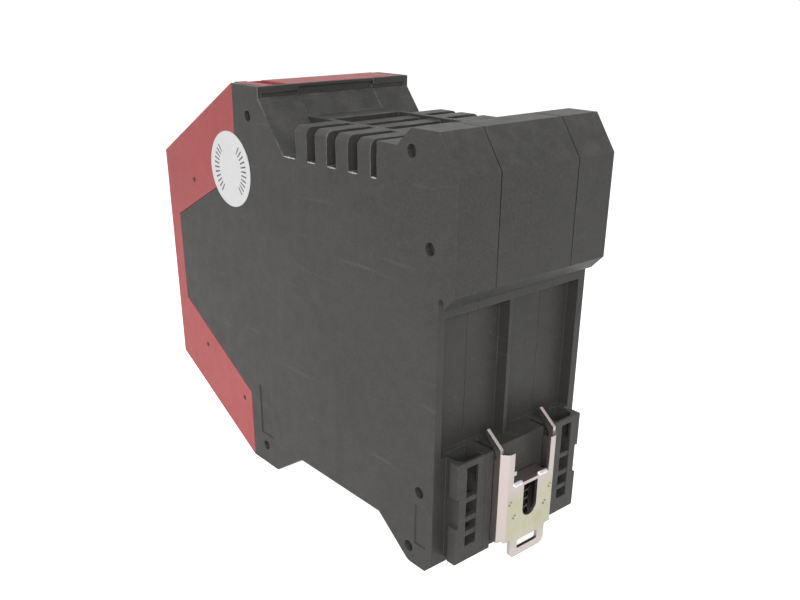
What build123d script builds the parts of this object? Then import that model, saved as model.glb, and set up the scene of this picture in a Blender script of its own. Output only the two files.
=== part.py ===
"""Safety relay module, 45 mm wide, that snaps on a 35 mm top-hat rail.

Frame: X is the width, Y the depth with the front at minus Y, Z is up.
The origin is the middle of the rail seat: rail centre height, seat plane, mid width.
All sizes are in millimetres.
"""
import os

from build123d import *

os.makedirs("parts", exist_ok=True)

# Overall sizes
module_width = 45.0
housing_height = 99.0
housing_depth = 114.0
centre_above_rail = 3.1
wall = 1.8
joint_gap = 0.15
seat_gap = 0.1

half_width = module_width / 2
seam_x = module_width / 4
side_wall_x = half_width - wall
top_z = centre_above_rail + housing_height / 2
bottom_z = centre_above_rail - housing_height / 2
middle = Plane.XY.offset(centre_above_rail)

# Rail seat and hook
rail_height = 35.0
rail_sheet = 1.0
rail_play = 0.5
rear_overhang = 4.5
hook_overlap = 1.3
hook_chamfer = 3.1
rear_y = rear_overhang
nose_y = rear_y - housing_depth
rail_top_z = rail_height / 2
rail_slot_width = rail_sheet + rail_play
rail_slot_top_z = rail_top_z + rail_slot_width / 2
lip_z = rail_top_z - hook_overlap

# Front section, its step and the slope behind it
cover_share = 0.3263
step_share = 0.0991
slope_share = 0.0825
cover_depth = housing_depth * cover_share
step_depth = housing_depth * step_share
step_slope_run = housing_depth * slope_share
step_lip = 2.7
vent_drop = 14.2
groove_depth = 0.6
cover_plate = 1.7
plate_shelf = 1.5
pad_rise = 0.4
pad_x = half_width - 5.0
pad_gap = 4.1
pad_split = half_width - 8.7
joint_y = nose_y + cover_depth
step_y = joint_y + step_depth
slope_foot_y = step_y + step_slope_run
vent_floor_z = top_z - vent_drop
low_vent_floor_z = bottom_z + vent_drop
step_slope = (vent_drop - step_lip) / step_slope_run

# Vent ribs
rib_count = 4
rib_share = 0.56
rib_height = 7.3
low_rib_height = 6.2
first_gap = 5.1
last_gap = 2.0
rear_vent_gap = 6.1
rib_corner_share = 0.45
hood_wall = 1.2
hood_step = 0.7
shell_lip = 1.5
rib_top_z = vent_floor_z + rib_height
low_rib_z = low_vent_floor_z - low_rib_height

# Crown of the rear block
shoulder_run = 4.0
crown_rise = 3.6
crown_length = 7.6
crown_drop = 7.6
crown_back = 5.3
crown_z = rib_top_z + crown_rise
crown_rear_y = rear_y - crown_back
crown_front_y = crown_rear_y - crown_length
shoulder_y = crown_front_y - shoulder_run
vent_end_y = shoulder_y - rear_vent_gap
first_rib_y = slope_foot_y + first_gap
rib_pitch = (vent_end_y - first_rib_y - last_gap) / (rib_count - 1 + rib_share)
rib_width = rib_pitch * rib_share
rib_corner = rib_width * rib_corner_share
vent_slot = rib_pitch - rib_width
rib_ys = [first_rib_y + rib_width / 2 + i * rib_pitch for i in range(rib_count)]
slot_ys = [first_rib_y - vent_slot / 2 + i * rib_pitch for i in range(rib_count)]
low_slot_ys = slot_ys[1:]

# Side walls below the rail seat, with the rear foot
foot_chamfer = 2.2
foot_front_y = -7.8
foot_round = 3.0
block_drop = 0.3
block_top_z = -rail_top_z - block_drop
low_vent_rear_y = vent_end_y + 0.4
low_slope_foot_y = slope_foot_y + 1.9

# Rail channel in the rear face
pocket_depth = 3.0
pocket_side = 2.0
channel_rib_x = 1.2
channel_rib_width = 1.0
rim_height = 2.6
cavity_rear_y = -pocket_depth - wall

# Nose of the front cover
nose_height = 59.0
nose_top_z = centre_above_rail + nose_height / 2
nose_bottom_z = centre_above_rail - nose_height / 2
slope_fall = (top_z - nose_top_z) / cover_depth

# Side tongue that reaches over the flank of the cover
tongue_reach = cover_depth * 0.868
tongue_neck = cover_depth * 0.288
tongue_top_drop = housing_height * 0.207
tongue_bottom_rise = housing_height * 0.194
tongue_tip_top_drop = housing_height * 0.373
tongue_tip_bottom_rise = housing_height * 0.385
tongue_tip_y = joint_y - tongue_reach

# Latch, a folded steel plate
sheet = 0.8
latch_half = 8.9
latch_bevel = 1.5
latch_y = 7.7
latch_arm = 3.1
latch_zone = block_top_z - bottom_z
latch_top_z = block_top_z - 0.4
latch_notch_z = block_top_z - latch_zone * 0.304
latch_bottom_z = block_top_z - latch_zone * 0.79
latch_tab_rise = 2.7
latch_tab_height = 1.0
latch_flange_y = -1.4
latch_travel = 4.5
latch_play = 0.15
prong_tip_y = 1.5
prong_rise = 4.3
prong_height = 1.1
latch_slot_half = 2.3
latch_slot_bottom_z = block_top_z - latch_zone * 0.629
latch_inner_x = latch_half - latch_arm
web_inner_y = latch_y - sheet
bevel_y = latch_y - latch_bevel
prong_tip_z = latch_top_z + prong_rise

# Screwdriver loop at the foot of the latch
loop_half = 5.7
loop_clear = 1.0
loop_hole_half = 3.35
loop_hole_height = 2.3
loop_bar = 1.9
loop_corner = 1.7
loop_bottom_z = bottom_z + loop_clear

# Shallow bare panels in the right flank, and small pits in both flanks of the cover
panel_depth = 0.2
panels = [(joint_y + 4.3, joint_y + 9.8, bottom_z + 8.8, bottom_z + 23.0),
          (-5.7, -2.1, bottom_z + 5.8, bottom_z + 16.1)]
pit_radius = 0.7
pit_depth = 0.5
pits = [(nose_y + 14.9, nose_top_z - 5.9), (nose_y + 14.7, nose_bottom_z + 6.2),
        (joint_y - 3.9, bottom_z + 16.1)]

# Lower block, that carries the latch between its guides, and the seat of the spring
block_half = half_width - 3.5
block_rear_y = 4.4
block_bottom_z = block_top_z - latch_zone * 0.8636
centre_block_y = 3.6
spring_wire = 0.55
spring_radius = 1.9
spring_seat_z = block_top_z - latch_zone * 0.706
spring_coils = 5
shelf_reach = 5.1
guide_x = latch_half + latch_play
spring_y = web_inner_y - spring_radius - spring_wire / 2 - 2 * latch_play
shelf_bottom_z = latch_notch_z - sheet

# Windows of the lower block with their rungs, the pocket above them and the tabs at its sides
window_inner_x = seam_x + 2.35
window_outer_x = block_half - 2.1
window_top_z = block_top_z - 1.4
window_bottom_z = block_top_z - latch_zone * 0.731
window_floor_y = 0.6
rung_zs = [block_top_z - latch_zone * share for share in (0.332, 0.5, 0.629)]
rung_height = 1.2
rung_depth = 1.6
rung_inset = 0.2
pocket_rim = 0.7
pocket_rear_round = 2.0
pocket_floor_z = block_top_z - latch_zone * 0.217
pocket_front_y = -1.6
tab_reach = 0.8
tab_depth = 2.4
upper_tab_z = block_top_z - latch_zone * 0.287
lower_tab_z = block_top_z - latch_zone * 0.545
tab_ranges = [(block_top_z, upper_tab_z), (lower_tab_z, block_bottom_z)]

# Pegs that pin the three housing parts together
peg_radius = 1.3
peg_sides = 12
peg_fit = 0.05
peg_recess = 1.1
peg_into_frame = 4.0
boss_size = 5.0
front_peg_y = joint_y + 6.3
free_pegs = [(front_peg_y, top_z - 6.9), (crown_front_y + 0.2, crown_z - 4.2),
             (rear_y - 7.1, rail_top_z + 9.9), (front_peg_y, bottom_z + 5.5),
             (-4.4, block_top_z - latch_zone * 0.325)]
block_pegs = [(-7.6, bottom_z + 4.0)]

# Hooks that hold the latch in its grooves
hook_reach = 0.8
hook_top_z = block_top_z - latch_zone * 0.4266
hook_bottom_z = block_top_z - latch_zone * 0.636

# Circuit boards
board_thickness = 1.6
board_x = half_width - 6.5
board_front_y = joint_y + 2.8
board_rear_y = -10.0
board_nose_y = nose_y + 6.0
board_nose_height = nose_height - 25.0
board_bottom_z = low_vent_floor_z + wall + seat_gap
board_top_z = vent_floor_z - wall - seat_gap
board_face_x = board_x - board_thickness / 2
connector_depth = 2.5
connector_z0 = 8.0
connector_z1 = 24.0

# Screw terminals
pole_count = 4
pole_margin = 0.4
pole_pitch = (module_width - 2 * wall - 2 * pole_margin) / pole_count
pole_wall = 4.15
cage_width = pole_pitch - pole_wall
cage_length = 5.6
cage_height = 5.6
cage_wall = 0.7
cage_fit = 0.1
screw_radius = 1.6
screw_length = 3.6
screw_slot = 0.6
screw_slot_depth = 0.8
screw_way_radius = 2.0
way_sides = 8
entry_size = 3.6
rear_row_y = joint_y - 4.2
front_row_y = rear_row_y - cover_depth * 0.411
block_front_y = front_row_y - cage_length / 2 - wall - 1
terminal_depth = 5.0 + slope_fall * (front_row_y - block_front_y)
terminal_rows = [(y, top_z - (joint_y - y) * slope_fall - terminal_depth)
                 for y in (rear_row_y, front_row_y)]
block_rear_end_y = joint_y - 1.5 + joint_gap
block_foot_z = terminal_rows[-1][1] - cage_height / 2 - cage_fit - wall
pole_xs = [(i - (pole_count - 1) / 2) * pole_pitch for i in range(pole_count)]

# Force-guided relays, transformer and capacitors
relay_count = 3
relay_gap = 1.4
relay_foot_z = 3.0
relay_front_y = board_front_y + 4.5
relay_pitch = (board_rear_y - board_front_y - 17.5) / relay_count
relay_size = (2 * board_face_x - 5.9, relay_pitch - relay_gap, board_top_z - relay_foot_z - 4.5)
relay_ys = [relay_front_y + (i + 0.5) * relay_pitch for i in range(relay_count)]
core_front_y = board_front_y + 7.5
core_rear_y = board_rear_y - 20.0
core_foot_z = board_bottom_z + 3.3
core_size = (board_x + 2.0, core_rear_y - core_front_y, relay_foot_z - 3.0 - core_foot_z)
core_y = (core_front_y + core_rear_y) / 2
core_z = core_foot_z + core_size[2] / 2
core_leg = core_size[1] * 0.156
coil_margin = 1.5
capacitor_radius = 5.0
capacitor_length = 16.0
capacitor_ys = [board_rear_y - 13.5, board_rear_y - 3.0]
capacitor_z = core_z - 0.5
fuse_radius = 2.6
fuse_length = 20.0
fuse_y = board_front_y + 3.5
fuse_z = -6.0

# Lamps of the nose panel
lamp_count = 4
lamp_pitch = 6.0
lamp_top_z = centre_above_rail + 15.0
lamp_size = 2.4
lamp_zs = [lamp_top_z - i * lamp_pitch for i in range(lamp_count)]
lamp_x = lamp_size / 2 - board_face_x

# Plate on the nose, and the seal across the side joint
plate_recess = 0.5
plate_x0 = 3.0 - half_width * 0.53
plate_x1 = half_width - 3.0
plate_margin = 5.0
seal_radius = 9.2
seal_thickness = 0.1
seal_y = joint_y - 3.0
seal_z = top_z - tongue_top_drop


def outer_profile():
    """Side outline of the dark housing at a side shell, clockwise from the top front corner."""
    return [
        (joint_y, top_z),
        (step_y, top_z),
        (step_y, top_z - step_lip),
        (slope_foot_y, vent_floor_z),
        (vent_end_y, vent_floor_z),
        (vent_end_y, rib_top_z),
        (shoulder_y, rib_top_z),
        (crown_front_y, crown_z),
        (crown_rear_y, crown_z),
        (rear_y, crown_z - crown_drop),
        (rear_y, lip_z + hook_chamfer),
        (rail_slot_width, lip_z),
        (0, lip_z),
        (0, bottom_z + foot_chamfer),
        (-foot_chamfer, bottom_z),
        (foot_front_y, bottom_z),
        (low_vent_rear_y, low_rib_z),
        (low_slope_foot_y, low_rib_z),
        (step_y, bottom_z),
        (joint_y, bottom_z),
    ]


def hood_profile():
    """The same outline at the middle frame, whose vent hoods stand as high as the ribs."""
    hood_front_y = step_y + (top_z - step_lip - rib_top_z) / step_slope
    vent_points = ((slope_foot_y, vent_floor_z), (vent_end_y, vent_floor_z), (vent_end_y, rib_top_z))
    outline = [p for p in outer_profile() if p not in vent_points]
    outline.insert(3, (hood_front_y, rib_top_z))
    return outline


def cavity_profile():
    """Inside of the housing, a wall inside the outline and open to the front."""
    inner_top = top_z - cover_plate - plate_shelf
    inner_bottom = bottom_z + cover_plate + plate_shelf
    inner_step_y = step_y - wall
    roof_z = vent_floor_z - wall
    floor_z = low_vent_floor_z + wall
    return [
        (joint_y - 1, inner_top),
        (inner_step_y, inner_top),
        (inner_step_y, top_z - step_lip - wall),
        (slope_foot_y - wall, roof_z),
        (shoulder_y + wall, roof_z),
        (shoulder_y + wall, rib_top_z - wall),
        (crown_front_y + wall / 2, crown_z - wall),
        (crown_rear_y - wall / 2, crown_z - wall),
        (rear_y - wall, crown_z - crown_drop - wall / 2),
        (rear_y - wall, rail_slot_top_z + 2 * wall),
        (rail_slot_width, rail_slot_top_z + wall),
        (cavity_rear_y, rail_slot_top_z + wall),
        (cavity_rear_y, floor_z),
        (low_slope_foot_y - wall, floor_z),
        (low_slope_foot_y - wall, low_rib_z + wall),
        (step_y - wall, inner_bottom),
        (joint_y - 1, inner_bottom),
    ]


def tongue_profile(gap):
    """Pointed tongue of the side wall, grown all round by a gap."""
    root_top = top_z - tongue_top_drop + gap
    root_bottom = bottom_z + tongue_bottom_rise - gap
    return [
        (joint_y + 1, root_top),
        (joint_y - gap, root_top),
        (joint_y - tongue_neck, root_top - tongue_neck * slope_fall),
        (tongue_tip_y - gap, top_z - tongue_tip_top_drop + gap),
        (tongue_tip_y - gap, bottom_z + tongue_tip_bottom_rise - gap),
        (joint_y - gap, root_bottom),
        (joint_y + 1, root_bottom),
    ]


def slab(x0, x1, y0, y1, z0, z1, mode=Mode.ADD):
    """A rectangular block between six planes, added to or cut from the open part."""
    with Locations(((x0 + x1) / 2, (y0 + y1) / 2, (z0 + z1) / 2)):
        Box(abs(x1 - x0), abs(y1 - y0), abs(z1 - z0), mode=mode)


def cut_rail_channel(x0, x1, pocket_x0, pocket_x1):
    """Hook slot and sunk seat pocket of the rail channel, between two widths."""
    with BuildSketch(Plane.YZ.offset(min(x0, x1))) as hook:
        with Locations((rail_slot_width / 2, rail_slot_top_z - hook_overlap - 1)):
            SlotOverall(2 * hook_overlap + 2, rail_slot_width, rotation=90)
    extrude(hook.sketch, amount=abs(x1 - x0), mode=Mode.SUBTRACT)
    slab(pocket_x0, pocket_x1, -pocket_depth, 1, block_top_z, lip_z - rim_height, Mode.SUBTRACT)


def foot_edge(body):
    """The edge across the width where the foot meets the slope in front of it."""
    return body.edges().filter_by(Axis.X).filter_by_position(Axis.Y, foot_front_y - 0.1, foot_front_y + 0.1)


# Side shells: outer wall with tongue, vent ribs, peg bosses and a quarter of the rail channel
def side_shell(side):
    inner_x = side * (seam_x + seat_gap / 2)
    outer_x = side * half_width
    wall_x = side * side_wall_x
    width = abs(outer_x - inner_x)
    with BuildPart() as shell:
        with BuildSketch(Plane.YZ.offset(inner_x)):
            Polygon(*outer_profile(), align=None)
        extrude(amount=side * width)
        with BuildSketch(Plane.YZ.offset(wall_x)):
            Polygon(*tongue_profile(0), align=None)
        extrude(amount=side * wall)
        for y in rib_ys:
            rib_floor_z = vent_floor_z - wall
            with BuildSketch(Plane.XZ.offset(-y - rib_width / 2)) as rib:
                with Locations(((inner_x + outer_x) / 2, (rib_floor_z + rib_top_z) / 2)):
                    Rectangle(width, rib_top_z - rib_floor_z)
                fillet(rib.vertices().sort_by_distance(Vector(outer_x, rib_top_z, 0))[0], rib_corner)
            extrude(amount=rib_width)
        # Rear foot, rounded at the front
        fillet(foot_edge(shell), foot_round)
        # Lower block with a tab above and below at its side
        slab(inner_x, side * block_half, -wall, block_rear_y, block_bottom_z, block_top_z)
        for z0, z1 in tab_ranges:
            slab(side * block_half, side * (block_half + tab_reach), block_rear_y - tab_depth, block_rear_y,
                 z0, z1)
        with BuildSketch(Plane.YZ.offset(inner_x)):
            Polygon(*cavity_profile(), align=None)
        extrude(amount=side * (side_wall_x - abs(inner_x)), mode=Mode.SUBTRACT)
        # Lower vent slots, behind the side wall
        for y in low_slot_ys:
            slab(inner_x, side * side_wall_x, y - vent_slot / 2, y + vent_slot / 2, low_rib_z - 1,
                 low_vent_floor_z + wall + 1, Mode.SUBTRACT)
        for y, z in free_pegs:
            slab(inner_x, side * side_wall_x, y - boss_size / 2, y + boss_size / 2, z - boss_size / 2,
                 z + boss_size / 2)
        # Top and bottom shelves for the plates of the front cover, and the groove under the step
        shelf_x = side * (side_wall_x - seat_gap)
        slab(inner_x, shelf_x, joint_y - 1, step_y - wall / 2, top_z - cover_plate, top_z + 1,
             Mode.SUBTRACT)
        slab(inner_x, shelf_x, joint_y - 1, step_y - wall / 2, bottom_z + cover_plate, bottom_z - 1,
             Mode.SUBTRACT)
        slab(inner_x, side * (half_width - 1), step_y - groove_depth, step_y + 1, top_z - step_lip,
             top_z - shell_lip, Mode.SUBTRACT)
        cut_rail_channel(inner_x, outer_x, inner_x, side * (half_width - pocket_side))
        if side > 0:
            for y0, y1, z0, z1 in panels:
                slab(outer_x - panel_depth, outer_x + 1, y0, y1, z0, z1, Mode.SUBTRACT)
        # Window with rungs, and the pocket above it behind a thin rim
        slab(side * window_inner_x, side * window_outer_x, window_floor_y, block_rear_y + 1,
             window_bottom_z, window_top_z, Mode.SUBTRACT)
        for z in rung_zs:
            slab(side * window_inner_x, side * window_outer_x, block_rear_y - rung_inset - rung_depth,
                 block_rear_y - rung_inset, z - rung_height / 2, z + rung_height / 2)
        pocket_rear_y = block_rear_y - pocket_rim
        with BuildSketch(Plane.XY.offset(pocket_floor_z)) as pocket:
            with Locations((side * (seam_x + block_half) / 2, (pocket_front_y + pocket_rear_y) / 2)):
                Rectangle(block_half - seam_x - 2 * pocket_rim, pocket_rear_y - pocket_front_y)
            rear_corner = Vector(side * block_half, block_rear_y, 0)
            fillet(pocket.vertices().sort_by_distance(rear_corner)[0], pocket_rear_round)
        extrude(amount=block_top_z - pocket_floor_z + 1, mode=Mode.SUBTRACT)
        for y, z in free_pegs + block_pegs:
            with BuildSketch(Plane.YZ.offset(inner_x)):
                with Locations((y, z)):
                    RegularPolygon(peg_radius + peg_fit, peg_sides)
            extrude(amount=side * width, mode=Mode.SUBTRACT)
    return shell


right_shell = side_shell(1)
left_shell = side_shell(-1)
for shell, name in ((right_shell, "right_side_shell"), (left_shell, "left_side_shell")):
    shell.part.label = name
    export_step(shell.part, f"parts/{name}.step")

# Middle frame: the band between the shells, with slotted hoods and the bed of the rail latch
frame_half = seam_x - seat_gap / 2
hood_half = frame_half - hood_wall
centre_half = latch_half - sheet - latch_play
groove_front_y = latch_flange_y - latch_play
hook_slot_x = centre_half - hook_reach - latch_play
with BuildPart() as frame:
    with BuildSketch(Plane.YZ.offset(-frame_half)):
        Polygon(*hood_profile(), align=None)
    extrude(amount=2 * frame_half)
    fillet(foot_edge(frame), foot_round)
    with BuildSketch(Plane.YZ.offset(-frame_half)):
        Polygon(*cavity_profile(), align=None)
    extrude(amount=2 * frame_half, mode=Mode.SUBTRACT)
    # Shelves for the plates of the front cover, and the groove under the step
    slab(-frame_half, frame_half, joint_y - 1, step_y - wall / 2, top_z - cover_plate, top_z + 1,
         Mode.SUBTRACT)
    slab(-frame_half, frame_half, joint_y - 1, step_y - wall / 2, bottom_z + cover_plate, bottom_z - 1,
         Mode.SUBTRACT)
    slab(-frame_half, frame_half, step_y - groove_depth, step_y + 1, top_z - step_lip, top_z - hood_step,
         Mode.SUBTRACT)
    # Hoods: hollow under a slotted roof, that lies a little lower than their side walls
    slab(-hood_half, hood_half, first_rib_y - vent_slot, vent_end_y, rib_top_z - hood_step,
         rib_top_z + 1, Mode.SUBTRACT)
    for inner, outer in ((vent_floor_z - wall - 1, rib_top_z - hood_step - wall),
                         (low_vent_floor_z + wall + 1, low_rib_z + wall)):
        slab(-hood_half, hood_half, slope_foot_y, vent_end_y, inner, outer, Mode.SUBTRACT)
    for y in slot_ys:
        slab(-hood_half, hood_half, y - vent_slot / 2, y + vent_slot / 2, rib_top_z - 3 * wall, rib_top_z,
             Mode.SUBTRACT)
    for y in low_slot_ys:
        slab(-hood_half, hood_half, y - vent_slot / 2, y + vent_slot / 2, low_rib_z, low_rib_z + 3 * wall,
             Mode.SUBTRACT)
    # Bosses for the pegs, tied to the nearest wall
    for y, z in free_pegs:
        slab(-frame_half, frame_half, y - boss_size / 2, y + boss_size / 2, z - boss_size / 2,
             z + boss_size / 2)
    tie_y, tie_z = free_pegs[0]
    slab(-frame_half, frame_half, tie_y - wall / 2, tie_y + wall / 2, tie_z, top_z - cover_plate)
    tie_y, tie_z = free_pegs[2]
    slab(-frame_half, frame_half, tie_y, rear_y - wall / 2, tie_z - wall / 2, tie_z + wall / 2)
    # Rail channel with its upright rib
    cut_rail_channel(-frame_half, frame_half, -frame_half, frame_half)
    slab(channel_rib_x - channel_rib_width / 2, channel_rib_x + channel_rib_width / 2,
         -pocket_depth - wall / 2, 0, block_top_z - wall / 2, lip_z - rim_height / 2)
    # Bed of the latch: outer guides, flange grooves and the block between them
    slab(-frame_half, frame_half, -wall, block_rear_y, block_bottom_z, block_top_z)
    slab(-centre_half, centre_half, centre_block_y, block_rear_y + 1, bottom_z - 1, block_top_z + 1,
         Mode.SUBTRACT)
    for side in (1, -1):
        slab(side * centre_half, side * guide_x, groove_front_y, block_rear_y + 1, bottom_z - 1,
             block_top_z + 1, Mode.SUBTRACT)
        slab(side * hook_slot_x, side * guide_x, groove_front_y, latch_flange_y + sheet + latch_play,
             bottom_z - 1, hook_top_z + latch_play, Mode.SUBTRACT)
    # Room for the latch shelf and its travel, and the well of the spring
    shelf_half = latch_inner_x
    slab(-shelf_half, shelf_half, web_inner_y - shelf_reach - latch_play, block_rear_y,
         shelf_bottom_z - latch_travel - latch_play, latch_notch_z + latch_play, Mode.SUBTRACT)
    well_half = spring_radius + spring_wire
    slab(-well_half, well_half, spring_y - well_half, block_rear_y, spring_seat_z, shelf_bottom_z,
         Mode.SUBTRACT)
    slab(-well_half, well_half, 0, web_inner_y - 2 * latch_play, spring_seat_z - 2, spring_seat_z)
    with Locations((0, spring_y, spring_seat_z + 1)):
        Cylinder(spring_radius - spring_wire / 2 - 0.3, 2)
    for y, z in free_pegs + block_pegs:
        for side in (1, -1):
            with BuildSketch(Plane.YZ.offset(side * frame_half)):
                with Locations((y, z)):
                    RegularPolygon(peg_radius + peg_fit, peg_sides)
            extrude(amount=-side * peg_into_frame, mode=Mode.SUBTRACT)
frame.part.label = "centre_frame"
export_step(frame.part, "parts/centre_frame.step")

# Pegs pressed in from both sides
with BuildPart() as pegs:
    for y, z in free_pegs + block_pegs:
        for side in (1, -1):
            with BuildSketch(Plane.YZ.offset(side * (frame_half - peg_into_frame))):
                with Locations((y, z)):
                    RegularPolygon(peg_radius, peg_sides)
            extrude(amount=side * (half_width - peg_recess - frame_half + peg_into_frame))
pegs.part.label = "assembly_pegs"
export_step(pegs.part, "parts/assembly_pegs.step")

# Front cover: wedge-shaped shell, open at the back, with two plates that lie on the housing
cover_rear_y = joint_y - joint_gap
slant = (1 + slope_fall ** 2) ** 0.5
skin = wall * slant
plate_rear_y = step_y - wall / 2 - joint_gap
plate_half = side_wall_x - seat_gap - joint_gap
with BuildPart() as cover:
    with BuildSketch(Plane.YZ.offset(-half_width)):
        Polygon((cover_rear_y, top_z), (nose_y, nose_top_z), (nose_y, nose_bottom_z),
                (cover_rear_y, bottom_z), align=None)
    extrude(amount=module_width)
    with BuildSketch(Plane.YZ.offset(-side_wall_x)):
        Polygon((joint_y, top_z - skin), (nose_y + wall, nose_top_z - skin + wall * slope_fall),
                (nose_y + wall, nose_bottom_z + skin - wall * slope_fall), (joint_y, bottom_z + skin),
                align=None)
    extrude(amount=2 * side_wall_x, mode=Mode.SUBTRACT)
    for side in (1, -1):
        with BuildSketch(Plane.YZ.offset(side * side_wall_x)):
            Polygon(*tongue_profile(joint_gap), align=None)
        extrude(amount=side * (wall + 1), mode=Mode.SUBTRACT)
    for z, up in ((top_z, 1), (bottom_z, -1)):
        under = z - up * (cover_plate - seat_gap)
        slab(-plate_half, pad_x - pad_gap, cover_rear_y - wall, plate_rear_y, under, z - up * pad_rise)
        slab(pad_x, plate_half, cover_rear_y - wall, plate_rear_y, under, z)
        slab(-pad_split, pad_x - pad_gap, cover_rear_y - 1, plate_rear_y, under, z)
        slab(-plate_half, -pad_split - pad_rise, cover_rear_y - 1, plate_rear_y, under, z)
    for side in (1, -1):
        with BuildSketch(Plane.YZ.offset(side * half_width)):
            with Locations(*pits):
                RegularPolygon(pit_radius, way_sides)
        extrude(amount=-side * pit_depth, mode=Mode.SUBTRACT)
    # Openings for the wires and the screws of each pole
    for row_y, row_z in terminal_rows:
        for x in pole_xs:
            for flip in (1, -1):
                z = middle.origin.Z + flip * (row_z - middle.origin.Z)
                far = middle.origin.Z + flip * (top_z + 1 - middle.origin.Z)
                slab(x - entry_size / 2, x + entry_size / 2, row_y - entry_size / 2,
                     row_y + entry_size / 2, z, far, Mode.SUBTRACT)
                with BuildSketch(Plane.XZ.offset(-nose_y)):
                    with Locations((x, z)):
                        RegularPolygon(screw_way_radius, way_sides)
                extrude(amount=nose_y - row_y, mode=Mode.SUBTRACT)
    # Sunk field for the plate, and bores for the light pipes
    slab(plate_x0 - seat_gap, plate_x1 + seat_gap, nose_y - 1, nose_y + plate_recess,
         nose_bottom_z + plate_margin - seat_gap, nose_top_z - plate_margin + seat_gap, Mode.SUBTRACT)
    for z in lamp_zs:
        reach = lamp_size / 2 + peg_fit
        slab(lamp_x - reach, lamp_x + reach, nose_y - 1, nose_y + 2 * wall, z - reach, z + reach,
             Mode.SUBTRACT)
cover.part.label = "front_cover"
export_step(cover.part, "parts/front_cover.step")

with BuildPart() as front_plate:
    slab(plate_x0, plate_x1, nose_y + 0.1, nose_y + plate_recess, nose_bottom_z + plate_margin,
         nose_top_z - plate_margin)
front_plate.part.label = "front_label_plate"
export_step(front_plate.part, "parts/front_label_plate.step")

# Round paper seal across the joint of the right flank
with BuildPart() as seal:
    with BuildSketch(Plane.YZ.offset(half_width)):
        with Locations((seal_y, seal_z)):
            Circle(seal_radius)
    extrude(amount=seal_thickness)
seal.part.label = "seal_sticker"
export_step(seal.part, "parts/seal_sticker.step")

# Rail latch: one folded steel plate with flanges, prongs, spring shelf and screwdriver loop
fold = sheet * (2 ** 0.5 - 1)
with BuildPart() as latch:
    with BuildSketch(Plane.XY.offset(latch_bottom_z)):
        Polygon((-latch_half, latch_flange_y), (-latch_half, bevel_y), (latch_bevel - latch_half, latch_y),
                (latch_half - latch_bevel, latch_y), (latch_half, bevel_y), (latch_half, latch_flange_y),
                align=None)
        Polygon((sheet - latch_half, latch_flange_y), (sheet - latch_half, bevel_y - fold),
                (latch_bevel - latch_half + fold, web_inner_y),
                (latch_half - latch_bevel - fold, web_inner_y),
                (latch_half - sheet, bevel_y - fold), (latch_half - sheet, latch_flange_y),
                align=None, mode=Mode.SUBTRACT)
    extrude(amount=latch_top_z - latch_bottom_z)
    slab(-latch_inner_x, latch_inner_x, web_inner_y - 1, latch_y + 1, latch_notch_z, latch_top_z + 1,
         Mode.SUBTRACT)
    flange_top_z = latch_top_z - 1.8
    for side in (1, -1):
        inner = side * (latch_half - sheet)
        slab(side * latch_inner_x, side * (latch_half + 1), latch_flange_y - 1, bevel_y - 1.2,
             flange_top_z, latch_top_z + 1, Mode.SUBTRACT)
        with BuildSketch(Plane.YZ.offset(inner)):
            Polygon((latch_flange_y, latch_bottom_z - 1), (latch_flange_y + 2, latch_bottom_z - 1),
                    (latch_flange_y - 1, latch_bottom_z + 2), align=None)
        extrude(amount=side * (sheet + 1), mode=Mode.SUBTRACT)
        with BuildSketch(Plane.YZ.offset(inner)):
            Polygon((bevel_y, latch_top_z - 0.5), (bevel_y, latch_top_z + prong_height),
                    (prong_tip_y + 0.4, prong_tip_z + 0.2), (prong_tip_y, prong_tip_z - 0.2),
                    (prong_tip_y + 0.2, prong_tip_z - prong_height),
                    (bevel_y - 1.2, latch_top_z - 0.5), align=None)
        extrude(amount=side * sheet)
        slab(inner, inner - side * hook_reach, latch_flange_y, latch_flange_y + sheet, hook_bottom_z,
             hook_top_z)
        with BuildSketch(Plane.XZ.offset(-latch_y)):
            with Locations((side * 6.5, hook_top_z - 0.5), (side * 5.0, hook_top_z - 4.4)):
                Circle(0.6)
        extrude(amount=0.25, mode=Mode.SUBTRACT)
        with BuildSketch(Plane.XZ.offset(-latch_y)):
            Polygon((side * (latch_half + 1), latch_bottom_z + 1.6),
                    (side * (latch_half - 2.6), latch_bottom_z - 1),
                    (side * (latch_half + 1), latch_bottom_z - 1), align=None)
        extrude(amount=sheet + 0.4, mode=Mode.SUBTRACT)
    slab(-latch_inner_x + 0.3, latch_inner_x - 0.3, web_inner_y - shelf_reach, latch_y, shelf_bottom_z,
         latch_notch_z)
    slab(latch_inner_x - sheet, latch_inner_x + 1, web_inner_y, latch_y, latch_notch_z + latch_tab_rise,
         latch_notch_z + latch_tab_rise + latch_tab_height)
    with BuildSketch(Plane.XZ.offset(-latch_y)):
        with Locations((0, (latch_bottom_z + loop_bottom_z) / 2 + 1)):
            RectangleRounded(2 * loop_half, latch_bottom_z - loop_bottom_z + 2, loop_corner)
    extrude(amount=sheet)
    with BuildSketch(Plane.XZ.offset(-latch_y)):
        with Locations((0, loop_bottom_z + loop_bar + loop_hole_height / 2)):
            RectangleRounded(2 * loop_hole_half, loop_hole_height, 0.4)
        with Locations((0, latch_slot_bottom_z + latch_slot_half)):
            Circle(latch_slot_half)
        slot_height = shelf_bottom_z - latch_slot_bottom_z - latch_slot_half
        with Locations((0, shelf_bottom_z - slot_height / 2)):
            Rectangle(2 * latch_slot_half, slot_height)
    extrude(amount=sheet, mode=Mode.SUBTRACT)
latch.part.label = "rail_latch"
export_step(latch.part, "parts/rail_latch.step")

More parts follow.
